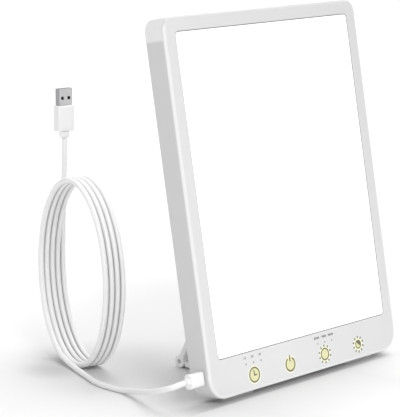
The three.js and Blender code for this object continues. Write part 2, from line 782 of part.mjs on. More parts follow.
function coilPath() {
  const path = [];
  const steps = Math.round(((coilEnd - coilStart) / (2 * Math.PI)) * coilRingsPerTurn);
  for (let i = 0; i <= steps; i += 1) {
    const angle = coilStart + (i / steps) * (coilEnd - coilStart);
    path.push([coilPoint(angle), coilDirection(angle)]);
  }
  const [first, firstWay] = path[0];
  const [last, lastWay] = path[path.length - 1];
  path.unshift([first.clone().addScaledVector(firstWay, -cordDiameter), firstWay]);
  path.push([last.clone().addScaledVector(lastWay, cordDiameter), lastWay]);
  return path;
}

const turns = coilPath();
const coilRings = turns.map(([centre, way]) => {
  const side = coilAxis.clone().addScaledVector(way, -coilAxis.dot(way)).normalize();
  const up = new THREE.Vector3().crossVectors(way, side);
  const ring = [];
  for (let i = 0; i < coilSides; i += 1) {
    const angle = (i / coilSides) * 2 * Math.PI;
    ring.push(centre.clone()
      .addScaledVector(side, cordRadius * Math.cos(angle))
      .addScaledVector(up, cordRadius * Math.sin(angle)));
  }
  return ring;
});

// Least gap of the coil to itself, between points of its path that are more than a third of a turn apart
const pointsPerTurn = coilRingsPerTurn * coilSides;
const samples = [];
for (let i = 0; i <= coilTurns * pointsPerTurn + pointsPerTurn / 4; i += 1) {
  samples.push(coilPoint((i / pointsPerTurn) * 2 * Math.PI));
}
let leastGap = Infinity;
for (let i = 0; i < samples.length; i += 1) {
  for (let j = i + Math.round(pointsPerTurn / 3); j < samples.length; j += 1) {
    leastGap = Math.min(leastGap, samples[i].distanceTo(samples[j]) - cordDiameter);
  }
}
console.log(`coil: least gap to itself ${leastGap.toFixed(3)} mm`);

const lead = new THREE.Group();
meshFrom(lead, 'cord_coil', skinOver(coilRings), cordJacket);

// A free stretch of the cord through points chosen by hand
function cordStretch(points, steps) {
  const section = new THREE.Shape();
  section.absarc(0, 0, cordRadius, 0, 2 * Math.PI, false);
  const path = new THREE.CatmullRomCurve3(points, false, 'centripetal');
  console.log(`cord stretch: ${path.getLength().toFixed(1)} mm`);
  return new THREE.ExtrudeGeometry(section, {
    steps,
    curveSegments: cordSides,
    bevelEnabled: false,
    extrudePath: path,
  });
}

// Run from the lamp: out of the relief, down to the floor and back along it to the coil's first loop
const [coilMouth, coilMouthWay] = turns[0];
const leadRoute = [
  leadExit,
  leadExit.clone().add(new THREE.Vector3(-cordRadius, 0, 0)),
  new THREE.Vector3(-122.6, -37, 19.2),
  new THREE.Vector3(-126.1, -36.2, 18.6),
  new THREE.Vector3(-128, -31.7, 16.9),
  new THREE.Vector3(-128, -26.2, 15),
  new THREE.Vector3(-126.6, -19.2, 12.6),
  new THREE.Vector3(-124.1, -11.2, 10.2),
  new THREE.Vector3(-121.2, -2.7, 8.1),
  new THREE.Vector3(-117.9, 6.3, 6),
  new THREE.Vector3(-115.2, 14.8, 4),
  new THREE.Vector3(-113.6, 22.8, 2.5),
  new THREE.Vector3(-113.4, 28.2, 2.1),
  new THREE.Vector3(-113.4, 34.1, 2.05),
  new THREE.Vector3(-113.1, 40.3, 2.05),
  new THREE.Vector3(-112.4, 46.9, 2.05),
  new THREE.Vector3(-110.3, 55, 2.05),
  new THREE.Vector3(-105.7, 65.9, 2.05),
  new THREE.Vector3(-100.7, 77.5, 2.05),
  new THREE.Vector3(-96.2, 88.5, 2.15),
  coilMouth.clone().addScaledVector(coilMouthWay, -seatGap - cordDiameter),
  coilMouth.clone().addScaledVector(coilMouthWay, -seatGap),
];
meshFrom(lead, 'cord_lead', cordStretch(leadRoute, 22), cordJacket);

// Run to the far plug: up out of the last loop
const [coilTop, coilTopWay] = turns[turns.length - 1];
const riseRoute = [
  coilTop.clone().addScaledVector(coilTopWay, seatGap),
  coilTop.clone().addScaledVector(coilTopWay, seatGap + cordDiameter),
  new THREE.Vector3(-58.3, 140.9, 95),
  new THREE.Vector3(-57, 141, 118),
  new THREE.Vector3(-56, 141, 138),
  new THREE.Vector3(-55.7, 141, 153),
  new THREE.Vector3(-55.7, 141, 157.5),
];
meshFrom(lead, 'cord_rise', cordStretch(riseRoute, 10), cordJacket);

// Type A plug: relief, moulded body, hollow metal shell with two latch windows on each face, and its tongue
const tip = new THREE.Group();
tip.position.copy(riseRoute[riseRoute.length - 1]);
tip.rotation.z = -THREE.MathUtils.degToRad(tipYawDegrees);
lead.add(tip);
const tipReliefStart = seatGap;
const tipRelief = mouldedBar(
  tipReliefWidth, tipReliefThickness, tipReliefLength, tipReliefCornerRadius, tipBodyEdgeRadius);
meshFrom(tip, 'far_plug_relief', tipRelief.translate(0, 0, tipReliefStart), cordJacket);
const tipBodyStart = tipReliefStart + tipReliefLength + seatGap;
const tipBody = mouldedBar(tipBodyWidth, tipBodyThickness, tipBodyLength, tipBodyCornerRadius, tipBodyEdgeRadius);
meshFrom(tip, 'far_plug_body', tipBody.translate(0, 0, tipBodyStart), cordJacket);
const tipShellStart = tipBodyStart + tipBodyLength + seatGap;
const tipShellEnd = tipShellStart + tipShellLength;

function tipShell() {
  const outer = block(
    -tipShellWidth / 2, tipShellWidth / 2, -tipShellThickness / 2, tipShellThickness / 2, tipShellStart, tipShellEnd);
  const tools = [
    block(
      -tipShellWidth / 2 + tipShellWall, tipShellWidth / 2 - tipShellWall,
      -tipShellThickness / 2 + tipShellWall, tipShellThickness / 2 - tipShellWall,
      tipShellStart + tipShellWall, tipShellEnd + cutOverrun),
  ];
  for (const side of [-1, 1]) {
    const x = (side * tipWindowSpacing) / 2;
    const z = tipShellEnd - tipWindowFromMouth;
    tools.push(block(
      x - tipWindowSize / 2, x + tipWindowSize / 2,
      -tipShellThickness, tipShellThickness,
      z - tipWindowSize / 2, z + tipWindowSize / 2));
  }
  return geometryFrom(cut(solidFrom(outer), tools));
}

meshFrom(tip, 'far_plug_shell', tipShell(), steel);
const tongueSide = tipShellWidth / 2 - tipShellWall - seatGap;
const tongueBack = tipShellThickness / 2 - tipShellWall - seatGap;
const tongue = block(
  -tongueSide, tongueSide,
  tongueBack - tipTongueThickness, tongueBack,
  tipShellStart + tipShellWall + seatGap, tipShellEnd - tipTongueRecess);
meshFrom(tip, 'far_plug_tongue', tongue, blackPlastic);

const lightTherapyLamp = new THREE.Group();
lightTherapyLamp.add(lamp, lead);
lightTherapyLamp.updateMatrixWorld(true);

export default lightTherapyLamp;
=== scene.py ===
import math

import bmesh
import bpy
from mathutils import Matrix, Vector


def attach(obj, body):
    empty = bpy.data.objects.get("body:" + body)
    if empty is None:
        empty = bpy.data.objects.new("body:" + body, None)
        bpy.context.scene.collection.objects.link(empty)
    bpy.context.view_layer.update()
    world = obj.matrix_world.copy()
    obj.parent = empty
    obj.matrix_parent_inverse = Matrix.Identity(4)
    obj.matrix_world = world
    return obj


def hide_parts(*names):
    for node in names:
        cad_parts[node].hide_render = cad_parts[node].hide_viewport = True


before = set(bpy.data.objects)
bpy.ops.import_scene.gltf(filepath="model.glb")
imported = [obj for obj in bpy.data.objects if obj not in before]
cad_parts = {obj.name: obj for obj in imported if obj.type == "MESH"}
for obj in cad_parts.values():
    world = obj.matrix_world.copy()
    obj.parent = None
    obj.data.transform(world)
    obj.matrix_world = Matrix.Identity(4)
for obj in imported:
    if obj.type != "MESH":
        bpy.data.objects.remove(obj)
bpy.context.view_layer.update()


# The camera stands about 1.4 m from the lamp, off its left front corner and above its top edge, and looks
# slightly down. A long lens on a 36 mm high frame of 400 x 417 gives the photograph's perspective.
def in_scene(name, data):
    """A new object that shows the data, linked into the scene."""
    made = bpy.data.objects.new(name, data)
    bpy.context.scene.collection.objects.link(made)
    return made


def look_along(thing, way):
    """Turns a camera or a lamp towards a direction."""
    thing.rotation_euler = Vector(way).to_track_quat("-Z", "Y").to_euler()


camera = in_scene("camera", bpy.data.cameras.new("camera"))
camera.data.sensor_width = 36.0
camera.data.lens = 172.66
camera.location = (-1.0358, -0.9146, 0.3785)
look_along(camera, (0.7161, 0.6725, -0.1869))
bpy.context.scene.camera = camera


# The charging lead: one round white PVC cord, 4 mm thick. It comes out of the plug at the panel's left side,
# sinks to the floor, runs back, and winds into a coil of upright oval turns that stands on its rim.
# Its free end rises out of the last turn and carries the far plug.
class Wire:
    """A node's output that can stand in a Python expression."""

    def __init__(self, nodes, socket):
        self.nodes = nodes
        self.socket = socket

    def maths(self, operation, *values):
        return self.nodes.node("ShaderNodeMath", {"operation": operation}, dict(enumerate(values)))

    def size(self):
        return self.maths("ABSOLUTE", self)

    def above_zero(self):
        return self.maths("MAXIMUM", self, 0.0)

    def __add__(self, other):
        return self.maths("ADD", self, other)

    __radd__ = __add__

    def __sub__(self, other):
        return self.maths("SUBTRACT", self, other)

    def __rsub__(self, other):
        return self.maths("SUBTRACT", other, self)

    def __mul__(self, other):
        return self.maths("MULTIPLY", self, other)

    __rmul__ = __mul__

    def __pow__(self, other):
        return self.maths("POWER", self, other)

    def __gt__(self, other):
        return self.maths("GREATER_THAN", self, other)

    def __lt__(self, other):
        return self.maths("LESS_THAN", self, other)


class Nodes:
    """A node tree, to which one method adds every node."""

    def __init__(self, tree):
        self.tree = tree
        tree.nodes.clear()

    def node(self, kind, settings=None, sockets=None, out=0):
        made = self.tree.nodes.new(kind)
        for key, value in (settings or {}).items():
            setattr(made, key, value)
        for key, value in (sockets or {}).items():
            if isinstance(value, Wire):
                self.tree.links.new(value.socket, made.inputs[key])
            else:
                made.inputs[key].default_value = value
        return Wire(self, made.outputs[out]) if len(made.outputs) else None


def rgb(colour):
    """The three numbers of a colour; a single number stands for a grey."""
    return (colour,) * 3 if isinstance(colour, float) else colour


class Finish(Nodes):
    """A material, or the world, whose nodes are added by expressions."""

    def __init__(self, name, store="materials"):
        self.made = getattr(bpy.data, store).new(name)
        self.made.use_nodes = True
        super().__init__(self.made.node_tree)

    def axis(self, letter):
        place = self.node("ShaderNodeTexCoord", out="Object")
        return self.node("ShaderNodeSeparateXYZ", {}, {0: place}, out=letter)

    def noise(self, scale, detail):
        place = self.node("ShaderNodeTexCoord", out="Object")
        return self.node("ShaderNodeTexNoise", {}, {"Vector": place, "Scale": scale, "Detail": detail})

    def bump(self, height, strength, distance):
        return self.node("ShaderNodeBump", {}, {"Height": height, "Strength": strength, "Distance": distance})

    def mix(self, factor, first, second):
        """A blend of two colours, each of them a link, three numbers or a grey."""
        first, second = (end if isinstance(end, Wire) else (*rgb(end), 1.0) for end in (first, second))
        return self.node("ShaderNodeMix", {"data_type": "RGBA"}, {0: factor, 6: first, 7: second}, out=2)

    def ease(self, value, start, stop, first, last, curve="SMOOTHSTEP"):
        """A smooth step from one number to another while the value goes from start to stop."""
        sockets = {"Value": value, "From Min": start, "From Max": stop, "To Min": first, "To Max": last}
        return self.node("ShaderNodeMapRange", {"interpolation_type": curve}, sockets)

    def surface(self, **sockets):
        named = {key.replace("_", " "): value for key, value in sockets.items()}
        shader = self.node("ShaderNodeBsdfPrincipled", {}, named)
        self.node("ShaderNodeOutputMaterial", {}, {"Surface": shader})
        return self.made


def put(name, mesh, material, body="panel"):
    """A finished piece at the origin that rides on a body."""
    piece = in_scene(name, mesh)
    mesh.materials.clear()
    mesh.materials.append(material)
    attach(piece, body)
    return piece


def plain(name, mesh):
    """A plain mesh from a bmesh that is finished with."""
    made = bpy.data.meshes.new(name)
    mesh.to_mesh(made)
    mesh.free()
    return made


def belt(mesh, low, high):
    """The four-sided faces between two rings of corners."""
    following = [*range(1, len(low)), 0]
    return [mesh.faces.new((low[k], low[n], high[n], high[k])) for k, n in enumerate(following)]


def smooth_route(corners, spacing):
    """Points on one smooth centripetal curve through the corners."""
    ends = [2 * corners[0] - corners[1], *corners, 2 * corners[-1] - corners[-2]]
    route = []
    for p0, p1, p2, p3 in zip(ends, ends[1:], ends[2:], ends[3:]):
        t1 = (p1 - p0).length ** 0.5
        t2 = t1 + (p2 - p1).length ** 0.5
        t3 = t2 + (p3 - p2).length ** 0.5
        count = max(1, round((p2 - p1).length / spacing))
        for i in range(count):
            t = t1 + (t2 - t1) * i / count
            a1 = p0.lerp(p1, t / t1)
            a2 = p1.lerp(p2, (t - t1) / (t2 - t1))
            a3 = p2.lerp(p3, (t - t2) / (t3 - t2))
            b1 = a1.lerp(a2, t / t2)
            b2 = a2.lerp(a3, (t - t1) / (t3 - t1))
            route.append(b1.lerp(b2, (t - t1) / (t2 - t1)))
    route.append(corners[-1])
    return route


def tube_mesh(name, route, radius, sides):
    """A closed round tube along a route, with its length in metres as U and its girth as V."""
    mesh = bmesh.new()
    uv = mesh.loops.layers.uv.new("along")
    ways = [(b - a).normalized() for a, b in zip(route, route[1:])]
    ways = [ways[0], *[(a + b).normalized() for a, b in zip(ways, ways[1:])], ways[-1]]
    side = ways[0].orthogonal().normalized()
    angles = [2 * math.pi * k / sides for k in range(sides)]
    rings = []
    reach = [0.0]
    for i, (point, way) in enumerate(zip(route, ways)):
        side = (side - way * side.dot(way)).normalized()
        other = way.cross(side)
        girth = [point + radius * (side * math.cos(a) + other * math.sin(a)) for a in angles]
        rings.append([mesh.verts.new(place) for place in girth])
        if i:
            reach.append(reach[-1] + (point - route[i - 1]).length)
    for i, (low, high) in enumerate(zip(rings, rings[1:])):
        for k, face in enumerate(belt(mesh, low, high)):
            places = ((reach[i], k), (reach[i], k + 1), (reach[i + 1], k + 1), (reach[i + 1], k))
            for loop, (u, v) in zip(face.loops, places):
                loop[uv].uv = (u, v / sides)
    mesh.faces.new(rings[0][::-1])
    mesh.faces.new(rings[-1])
    return plain(name, mesh)


lead_exit = Vector((-0.1157, -0.03688, 0.01949))
lead_corners = [lead_exit, *[Vector(point) / 1000 for point in (
    (-117.7, -36.88, 19.49),
    (-122.6, -37.0, 19.2),
    (-126.1, -36.2, 18.6),
    (-128.0, -31.7, 16.9),
    (-128.0, -26.2, 15),
    (-126.6, -19.2, 12.6),
    (-124.1, -11.2, 10.2),
    (-121.2, -2.7, 8.1),
    (-117.9, 6.3, 6),
    (-115.2, 14.8, 4),
    (-113.6, 22.8, 2.5),
    (-113.4, 28.2, 2.1),
    (-113.4, 34.1, 2.05),
    (-113.1, 40.3, 2.05),
    (-112.4, 46.9, 2.05),
    (-110.3, 55.0, 2.05),
    (-105.7, 65.9, 2.05),
    (-100.7, 77.5, 2.05),
    (-96.2, 88.5, 2.15),
)]]
rise_corners = [Vector(point) / 1000 for point in (
    (-58.3, 140.9, 95.0),
    (-57.0, 141.0, 118.0),
    (-56.0, 141.0, 138.0),
    (-55.7, 141.0, 153.0),
    (-55.7, 141.0, 157.5),
)]
coil_middle = (-0.091, 0.0994, 0.0685)
coil_heading = math.radians(-16.5)
coil_axis = Vector((math.cos(coil_heading), math.sin(coil_heading), 0.0))
coil_across = Vector((-coil_axis.y, coil_axis.x, 0.0))
coil_half_width, coil_half_height = 0.0488, 0.0665
turn_pitch = 0.00445
turn_steps = 144


def coil_point(angle):
    """The coil's middle line at an angle from the lowest point of its first turn."""
    return (
        Vector(coil_middle)
        + coil_axis * (turn_pitch * angle / (2 * math.pi))
        + coil_across * (coil_half_width * math.sin(angle))
        - Vector((0, 0, coil_half_height * math.cos(angle)))
    )


# From 20 to 60 degrees the coil is drawn through a few points, to blend with the run on the floor.
# From 70 degrees to a quarter past the fourth turn it has all its steps.
coil_entry = [coil_point(math.radians(10 * i)) for i in range(2, 7)]
coil_points = [coil_point(i / turn_steps * 2 * math.pi) for i in range(28, 613)]
route_step = 0.003
lead_in = smooth_route([*lead_corners, *coil_entry, coil_points[0]], route_step)
lead_out = smooth_route([coil_points[-3], coil_points[-1], *rise_corners], route_step)
cord_route = [*lead_in[:-1], *coil_points[:-3], *lead_out]
cord_radius = 0.002
cord_sides = 16
cord_mesh = tube_mesh("charging_cord", cord_route, cord_radius, cord_sides)
cord_mesh.shade_smooth()

# Painted shade in the grooves between the turns: the jacket is greyed where a turn faces its neighbour,
# fading out at the coil's two ends and paler on its upper front, where the light falls into them.
groove_shade = cord_mesh.attributes.new("groove_shade", "FLOAT", "POINT")
fade_in, fade_out = 30, 12
groove_first = len(lead_in) - 18
groove_last = len(lead_in) + len(coil_points) + fade_out
groove_edge, groove_width = 0.6, 0.38
pale_from, pale_over, pale_share = 0.085, 0.05, 0.65
for i, vertex in enumerate(cord_mesh.vertices):
    ring = i // cord_sides
    lean_out = (vertex.co - cord_route[ring]).normalized().dot(coil_axis)
    other_turn = ring + (turn_steps if lean_out > 0 else -turn_steps)
    inside = min(ring, other_turn) - groove_first
    beyond = groove_last - max(ring, other_turn)
    if inside > 0 and beyond > 0:
        upper_front = max(0.0, (vertex.co.z - pale_from) / pale_over) * (vertex.co.y < coil_middle[1])
        fade = min(1.0, inside / fade_in, beyond / fade_out) * (1.0 - pale_share * min(1.0, upper_front))
        groove_shade.data[i].value = fade * min(1.0, max(0.0, (abs(lean_out) - groove_edge) / groove_width))

cord_finish = Finish("cord jacket, white PVC")
cord_skin = cord_finish.noise(1800.0, 2.0)
cord_tint = cord_finish.mix(cord_finish.noise(60.0, 3.0), (0.91, 0.91, 0.905), 0.95)
# The groove shade greys the jacket's colour: painted shade between the turns.
cord_groove_shade = cord_finish.node("ShaderNodeAttribute", {"attribute_name": "groove_shade"}, out="Fac")
cord_white = cord_finish.surface(
    Base_Color=cord_finish.mix(cord_groove_shade, cord_tint, 0.6),
    Roughness=0.32 + 0.12 * (cord_skin - 0.5),
    Normal=cord_finish.bump(cord_skin, 0.3, 0.00002),
)
cord = put("charging_cord", cord_mesh, cord_white)
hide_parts("cord_lead", "cord_coil", "cord_rise")


# The lamp-end plug: a flat soft-edged moulded grip over a small oval metal tip, pushed into the socket in
# the panel's left wall. A short collar with two grooves relieves the cord where it leaves the grip.
# The plug leans with the panel, which turns about the lower edge of its back.
panel_lean = math.radians(10.3)
panel_foot = Vector((0, -0.030191, 0.0015))
panel_thick = 0.017
# The panel's pieces are drawn upright, with the depth behind its front as Y. This takes them to their place.
lean = (
    Matrix.Translation(panel_foot)
    @ Matrix.Rotation(-panel_lean, 4, "X")
    @ Matrix.Translation((0, -panel_thick, 0))
)


def moulded(name, colour, roughness, grain=1400.0, depth=0.00002, cloud=0.03):
    """Moulded plastic: a faint cloud in the colour, a fine eroded grain in the gloss and the surface."""
    finish = Finish(name)
    broad = finish.noise(22.0, 3.0)
    fine = finish.noise(grain, 2.0)
    dim = [value * (1 - cloud) for value in rgb(colour)]
    return finish.surface(
        Base_Color=finish.mix(broad, dim, colour),
        Roughness=roughness + 0.1 * (fine - 0.5) + 0.06 * (broad - 0.5),
        Normal=finish.bump(fine, 0.35, depth),
    )


def nickel(name, scale, dark, bright, darker=None):
    """Nickel plated steel with a fine grain, darkened by a painted reflection of a dark side of the room
    where darker is one.
    """
    finish = Finish(name)
    grain = finish.noise(1500.0, 4.0)
    tint = finish.mix(finish.noise(scale, 3.0), dark, bright)
    if darker:
        tint = finish.mix(darker(finish), tint, (0.33, 0.33, 0.34))
    return finish.surface(
        Base_Color=tint,
        Metallic=1.0,
        Roughness=0.3 + 0.16 * grain,
        Normal=finish.bump(grain, 0.4, 0.00003),
    )


def paint(material, *nodes):
    """Gives CAD nodes that show as they are their finish."""
    for node in nodes:
        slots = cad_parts[node].data.materials
        slots.clear()
        slots.append(material)


def rounded(half_x, low, high, low_radius, high_radius, inset, steps):
    """A rounded rectangle as points clockwise from its top right corner, drawn in by the inset."""
    corners = (
        (half_x - high_radius, high - high_radius, high_radius - inset, 0.5),
        (half_x - low_radius, low + low_radius, low_radius - inset, 0.0),
        (-half_x + low_radius, low + low_radius, low_radius - inset, -0.5),
        (-half_x + high_radius, high - high_radius, high_radius - inset, -1.0),
    )
    points = []
    for x, z, radius, start in corners:
        for i in range(steps + 1):
            angle = (start - 0.5 * i / steps) * math.pi
            points.append((x + radius * math.cos(angle), z + radius * math.sin(angle)))
    return points


def circle(radius, sides):
    """Points round a circle about zero."""
    angles = [2 * math.pi * k / sides for k in range(sides)]
    return [(radius * math.cos(a), radius * math.sin(a)) for a in angles]


def skin(name, rings, place=None, around=False):
    """A mesh over rings of points in millimetres, capped at both ends or joined round into itself."""
    mesh = bmesh.new()
    loops = [[mesh.verts.new(Vector(point) / 1000) for point in ring] for ring in rings]
    for low, high in zip(loops, loops[1:]):
        belt(mesh, low, high)
    if around:
        belt(mesh, loops[-1], loops[0])
    else:
        mesh.faces.new(loops[0][::-1])
        mesh.faces.new(loops[-1])
    bmesh.ops.recalc_face_normals(mesh, faces=mesh.faces)
    if place is not None:
        bmesh.ops.transform(mesh, matrix=place, verts=mesh.verts)
    return plain(name, mesh)


def sharpen(mesh):
    """Smooth shading that keeps the sharper edges."""
    mesh.shade_smooth()
    mesh.set_sharp_from_angle(angle=math.radians(35))
    return mesh


def grip_rings(width, thickness, length, corner, edge, waist=0.0):
    """Rings along Z of a moulded plug grip with rolled ends and a slightly drawn-in waist."""
    quarter = (0, 0.26, 0.52, 0.79, 1.05, 1.31, 1.57)
    stations = [(edge * (1 - math.cos(a)), edge * (1 - math.sin(a))) for a in quarter]
    ends = [(length - z, inset) for z, inset in reversed(stations)]
    for i in range(1, 8):
        stations.append((edge + (length - 2 * edge) * i / 8, waist * math.sin(math.pi * i / 8)))
    rings = []
    for z, inset in [*stations, *ends]:
        points = rounded(width / 2, -thickness / 2, thickness / 2, corner, corner, inset, 6)
        rings.append([(x, y, z) for x, y in points])
    return rings


def turned(profile, sides=32):
    """Rings along Z of a turned piece from (radius, z) pairs."""
    return [[(x, y, z) for x, y in circle(radius, sides)] for radius, z in profile]


plug_white = moulded("plug grip, white TPE", 0.95, 0.3, 1600.0)
to_side = lean @ Matrix.Translation((-0.1001, 0.0072, 0.0165)) @ Matrix.Rotation(math.radians(-90), 4, "Y")
lead_grip = put(
    "lead_plug_grip",
    sharpen(skin("lead_plug_grip", grip_rings(10.0, 6.5, 12.6, 2.0, 0.7, 0.1), to_side)),
    plug_white,
)
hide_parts("lead_plug_body")
collar = (
    (2.9, 12.7), (3.0, 13.0), (2.9, 13.5), (2.7, 13.6), (2.7, 13.85), (2.85, 13.95),
    (2.8, 14.4), (2.6, 14.5), (2.6, 14.75), (2.7, 14.85), (2.45, 15.2), (2.0, 15.3),
)
lead_collar = put(
    "lead_plug_collar", sharpen(skin("lead_plug_collar", turned(collar), to_side)), plug_white)
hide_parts("lead_plug_relief")
steel = nickel("nickel plated steel", 180.0, (0.62, 0.62, 0.63), (0.78, 0.78, 0.79))
paint(steel, "lead_plug_tip", "power_socket")


# The far plug: a standard type A plug. A folded nickel plated shell with two latch windows on each broad side
# and a black tongue inside stands on a moulded grip, with a short oval neck under it.
far_place = Matrix.Translation(cord_route[-1]) @ Matrix.Rotation(math.radians(-8.0), 4, "Z")
neck_rings = [
    [(x * size, y * size, z) for x, y in rounded(3.85, -2.8, 2.8, 2.4, 2.4, inset, 6)]
    for z, inset, size in (
        (0.3, 0.5, 0.86), (0.45, 0.2, 0.92), (0.9, 0.0, 0.95), (2.4, 0.0, 0.98), (4.9, 0.0, 1.0))
]
far_neck = put("far_plug_neck", sharpen(skin("far_plug_neck", neck_rings, far_place)), plug_white)
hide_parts("far_plug_relief")
to_grip = far_place @ Matrix.Translation((0, 0, 0.0052))
far_grip = put(
    "far_plug_grip",
    sharpen(skin("far_plug_grip", grip_rings(14.2, 7.2, 18.6, 1.0, 0.7), to_grip)),
    plug_white,
)
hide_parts("far_plug_body")
paint(moulded("tongue, black moulded", (0.012, 0.012, 0.013), 0.5, 900.0), "far_plug_tongue")


def evaluated(thing):
    """The plain mesh that an object shows with its modifiers."""
    view = bpy.context.evaluated_depsgraph_get()
    return bpy.data.meshes.new_from_object(thing.evaluated_get(view))


def joined(base, tools, operation="DIFFERENCE"):
    """The base mesh after each tool mesh is taken out of it or added to it, as a plain mesh."""
    holder = in_scene("holder", base)
    for mesh in tools:
        tool = in_scene("tool", mesh)
        step = holder.modifiers.new("cut", "BOOLEAN")
        step.operation = operation
        step.solver = "EXACT"
        step.object = tool
        result = evaluated(holder)
        holder.modifiers.clear()
        holder.data = result
        bpy.data.objects.remove(tool)
    result = holder.data
    bpy.data.objects.remove(holder)
    return result


def brick(low, high):
    """A box between two corners in millimetres."""
    (x0, y0, z0), (x1, y1, z1) = low, high
    base = [(x0, y0), (x0, y1), (x1, y1), (x1, y0)]
    return skin("brick", [[(x, y, z) for x, y in base] for z in (z0, z1)])


def upright(half_x, half_y, corner, z0, z1):
    """A rounded bar along Z."""
    return [[(x, y, z) for x, y in rounded(half_x, -half_y, half_y, corner, corner, 0, 5)] for z in (z0, z1)]


shell_cuts = [skin("hollow", upright(5.65, 1.9, 0.3, 24.5, 37.0))]
for side in (-2.8, 2.8):
    shell_cuts.append(brick((side - 1.15, -4.0, 28.1), (side + 1.15, 4.0, 30.4)))
far_shell_mesh = joined(skin("far_plug_shell_dressed", upright(6.0, 2.25, 0.5, 24.1, 36.1)), shell_cuts)
far_shell_mesh.transform(far_place)
wide = far_place.to_3x3() @ Vector((1, 0, 0))


def narrow_side_reflection(finish):
    """One on the shell's narrow sides, where its painted dark reflection lies, and zero on its broad ones."""
    across = (finish.axis("X") - cord_route[-1].x) * wide.x
    back = (finish.axis("Y") - cord_route[-1].y) * wide.y
    return finish.ease((across + back).size(), 0.0052, 0.0058, 0.0, 1.0)


# The shell's narrow sides are darkened by a painted reflection of a dark side of the room.
shell_steel = nickel("nickel plated shell", 600.0, (0.72, 0.72, 0.73), (0.96, 0.96, 0.97), narrow_side_reflection)
far_shell = put("far_plug_shell_dressed", sharpen(far_shell_mesh), shell_steel)
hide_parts("far_plug_shell")


# The front shell: bezel, chin and side walls in one white moulding, open at the back, where its rim stands
# a little proud of the cover. Its front edge is rolled to 2 mm all round, the screen shows through a
# window, and round holes in the chin let the icons and lights through.
panel_half, panel_high = 99.5, 256.5
window_half, window_low, window_high = 89, 26.4, 246.5
front_roll, rim_roll = 2, 1.2
wall, bezel, rim = 2.4, 1.8, 18.2
# Each icon's place across the panel, the radius of its lens and the width of its halo.
icons = {
    "timer": (-55.8, 5.4, 1.8),
    "power": (-18.6, 5.1, 1.8),
    "brightness": (18.6, 4.2, 3.4),
    "colour": (55.8, 3.2, 3.6),
}
icon_height = 10.4
light_height = 18.8
light_step = 7.6
light_places = {
    f"{name}_light_{i + 1}": middle + light_step * (i - 1)
    for name, middle in (("timer", -55.2), ("level", 20.1))
    for i in range(3)
}


def at_depth(points, y):
    """Points of the panel's face at a depth behind its front."""
    return [(x, y, z) for x, z in points]


def panel_edge(inset):
    """The panel's outline, drawn in by the inset."""
    return rounded(panel_half, 0, panel_high, 15, 9, inset, 14)


def window_edge(grow):
    """The screen window's outline, grown all round."""
    corner = 3 + grow
    return rounded(window_half + grow, window_low - grow, window_high + grow, corner, corner, 0, 14)


def round_rings(profile, x, z, sides):
    """Rings through the panel's thickness round a place on its face, from (radius, depth) pairs."""
    return [[(x + u, y, z + v) for u, v in circle(radius, sides)] for radius, y in profile]


def rod_y(radius, y0, y1, x, z, sides):
    """A round rod through the panel's thickness."""
    return skin("rod", round_rings([(radius, y0), (radius, y1)], x, z, sides))


def up_panel(finish):
    """How far a point is up the leaning panel, in metres."""
    back = finish.axis("Y") - panel_foot.y
    up = finish.axis("Z") - panel_foot.z
    return back * math.sin(panel_lean) + up * math.cos(panel_lean)


def into_panel(finish):
    """How deep a point is behind the panel's front, in metres."""
    back = finish.axis("Y") - panel_foot.y
    up = finish.axis("Z") - panel_foot.z
    return panel_thick + back * math.cos(panel_lean) - up * math.sin(panel_lean)


shell_profile = []
for i in range(9):
    angle = i / 8 * math.pi / 2
    shell_profile.append((front_roll * (1 - math.sin(angle)), front_roll * (1 - math.cos(angle))))
shell_profile += [(0, 5.5), (0, 9.5), (0, 13.5)]
for i in range(7):
    angle = i / 6 * math.pi / 2
    shell_profile.append((rim_roll * (1 - math.cos(angle)), rim - rim_roll + rim_roll * math.sin(angle)))
shell_profile += [(wall, rim), (wall, bezel)]
shell_rings = [at_depth(panel_edge(inset), y) for inset, y in shell_profile]
shell_rings += [at_depth(window_edge(grow), y) for grow, y in ((0, bezel), (0, 0.25), (0.25, 0.0))]
shell_holes = [rod_y(radius + 0.02, -1, 3, x, icon_height, 48) for x, radius, _ in icons.values()]
shell_holes += [rod_y(0.7, -1, 3, x, light_height, 20) for x in light_places.values()]
shell_holes.append(skin("socket_hole", [
    [(x, 7.2 + y, 16.5 + z) for y, z in rounded(2.1, -4.8, 4.8, 2.1, 2.1, 0, 8)] for x in (-103.0, -95.0)
]))
shell_mesh = joined(skin("front_shell_dressed", shell_rings, around=True), shell_holes)
shell_mesh.transform(lean)

# Painted shade makes the front a shade greyer towards its upper right. The rolled edge has a painted
# highlight, but is grey along the top, and the left wall has a painted highlight at its upper corner.
# A painted warm glow lies round each icon, and painted shade darkens the window's cut edge.
face_depth = 0.0005
shell_finish = Finish("shell plastic, satin white")
across = shell_finish.axis("X")
height = up_panel(shell_finish)
depth = into_panel(shell_finish)
shell_cloud = shell_finish.noise(14.0, 4.0)
shell_grain = shell_finish.noise(1500.0, 2.0)
# A painted glow round each icon, in both the front's colour and its emission.
glow = 0.0
for x, radius, halo in icons.values():
    sideways = across - x / 1000
    upwards = height - icon_height / 1000
    away = (sideways * sideways + upwards * upwards) ** 0.5
    glow += shell_finish.ease(away, radius / 1000, (radius + halo) / 1000, 1.0, 0.0, "SMOOTHERSTEP")
glow = glow * (depth < face_depth)
middle_height = 0.128
corner = 0.015 - 0.006 * (height > middle_height)
past_side = (across.size() - panel_half / 1000 + corner).above_zero()
past_end = ((height - panel_high / 2000).size() - panel_high / 2000 + corner).above_zero()
from_edge = (past_side * past_side + past_end * past_end) ** 0.5 - corner
roll = shell_finish.ease(from_edge, -0.0023, -0.0013, 0.0, 1.0)
